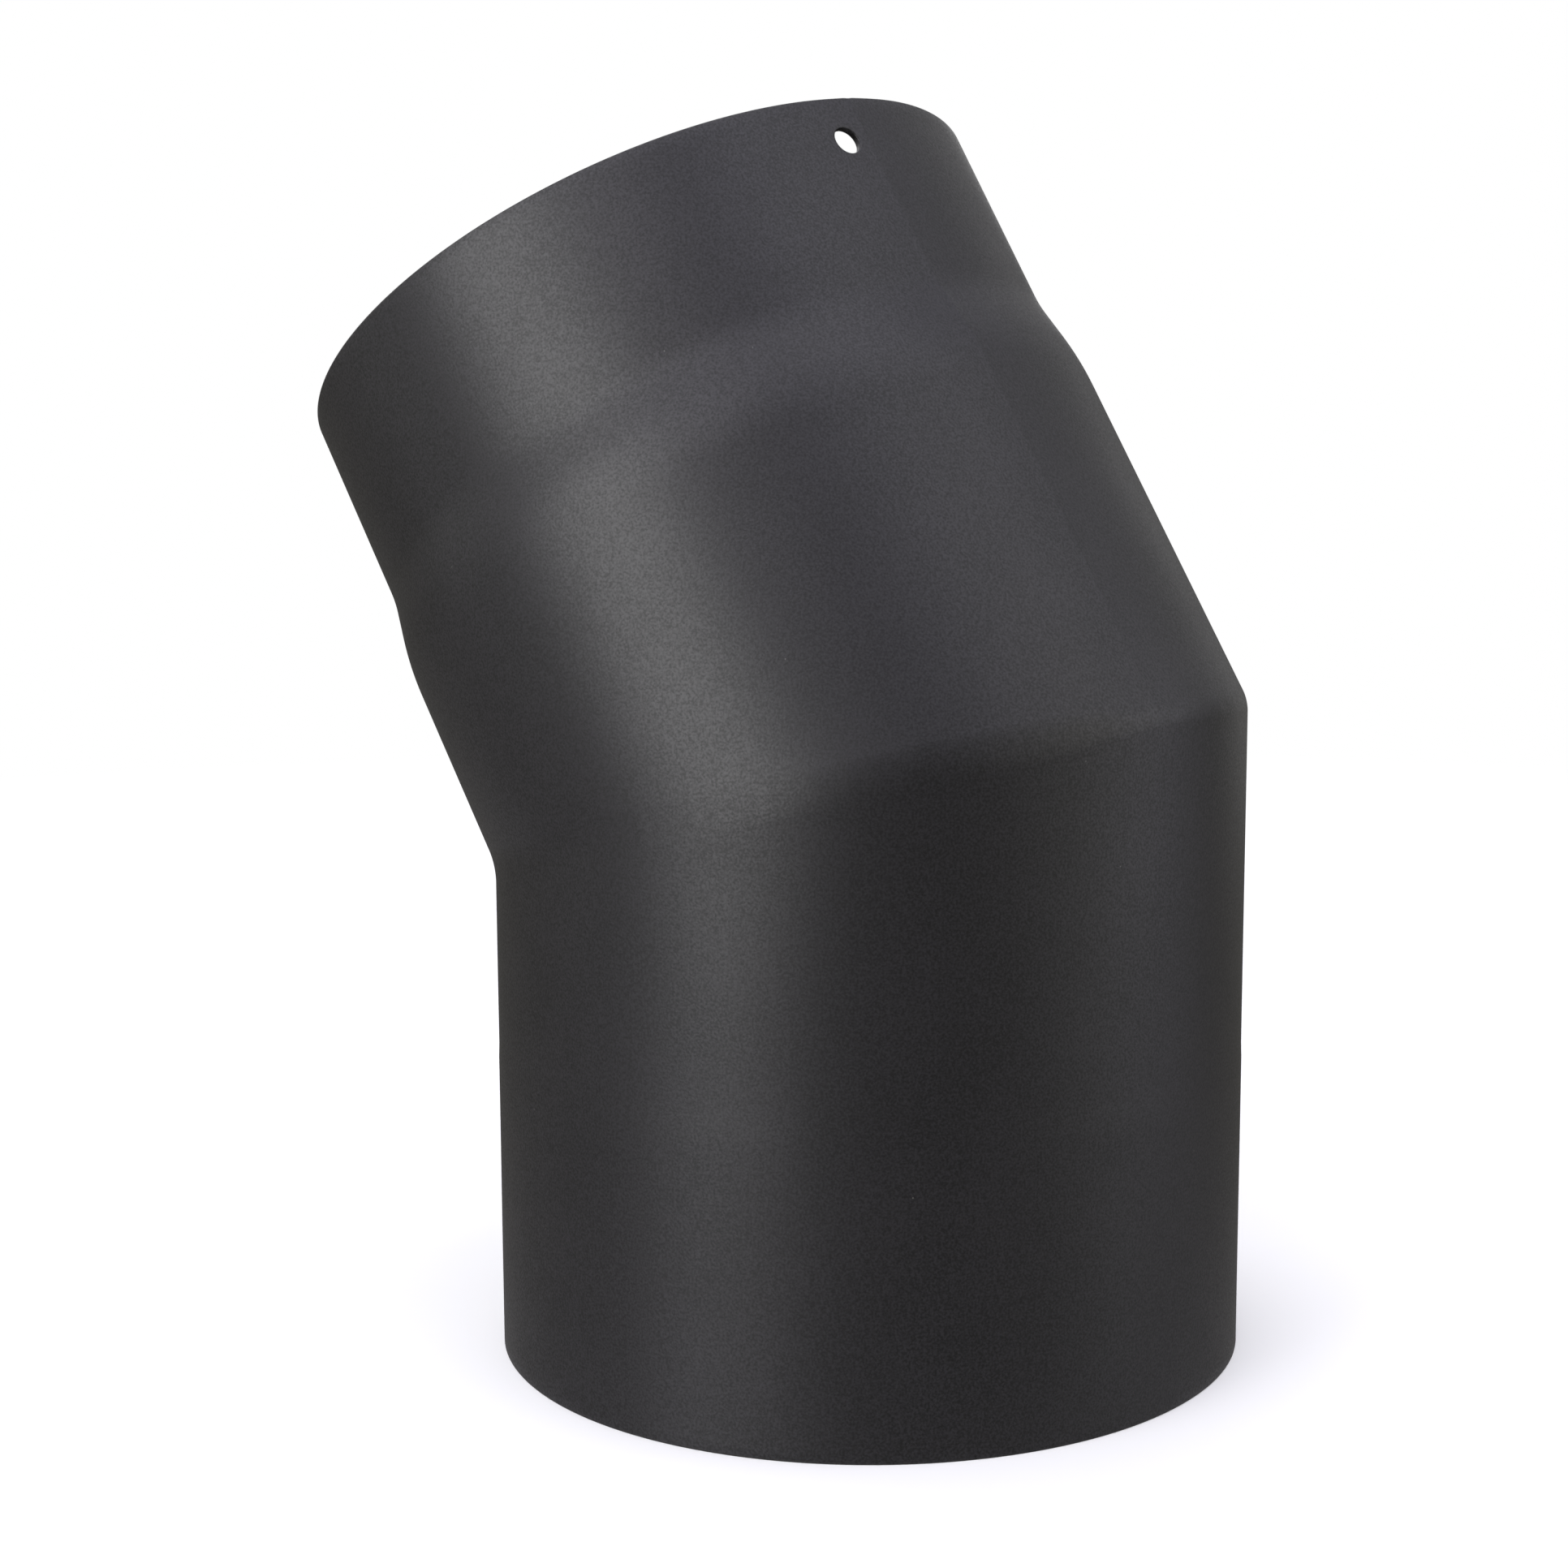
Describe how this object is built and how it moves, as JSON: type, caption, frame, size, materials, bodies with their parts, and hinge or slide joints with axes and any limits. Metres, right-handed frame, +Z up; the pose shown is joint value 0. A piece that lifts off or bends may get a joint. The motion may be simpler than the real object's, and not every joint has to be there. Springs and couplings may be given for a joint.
{
  "type": "flue elbow",
  "caption": "Mitred steel flue elbow that turns a 150 mm stove pipe by 30 degrees, with a plain socket end and a swaged spigot end.",
  "frame": {"origin": "centre of the lower rim, on the lower pipe's axis", "axes": "+Z up the lower pipe's axis, the upper pipe leans towards -X, and Y is across the bend"},
  "size_m": [0.1975, 0.153, 0.2504],
  "materials": {
    "flue_paint": "matte charcoal heat-resistant paint, finely pebbled",
    "weld_paint": "the same paint over ground welds outside and root beads inside"
  },
  "bodies": {
    "root": {"lower_pipe": "flue_paint", "upper_pipe": "flue_paint", "mitre_weld": "weld_paint", "lower_seam_weld": "weld_paint", "upper_seam_weld": "weld_paint"}
  },
  "joints": []
}
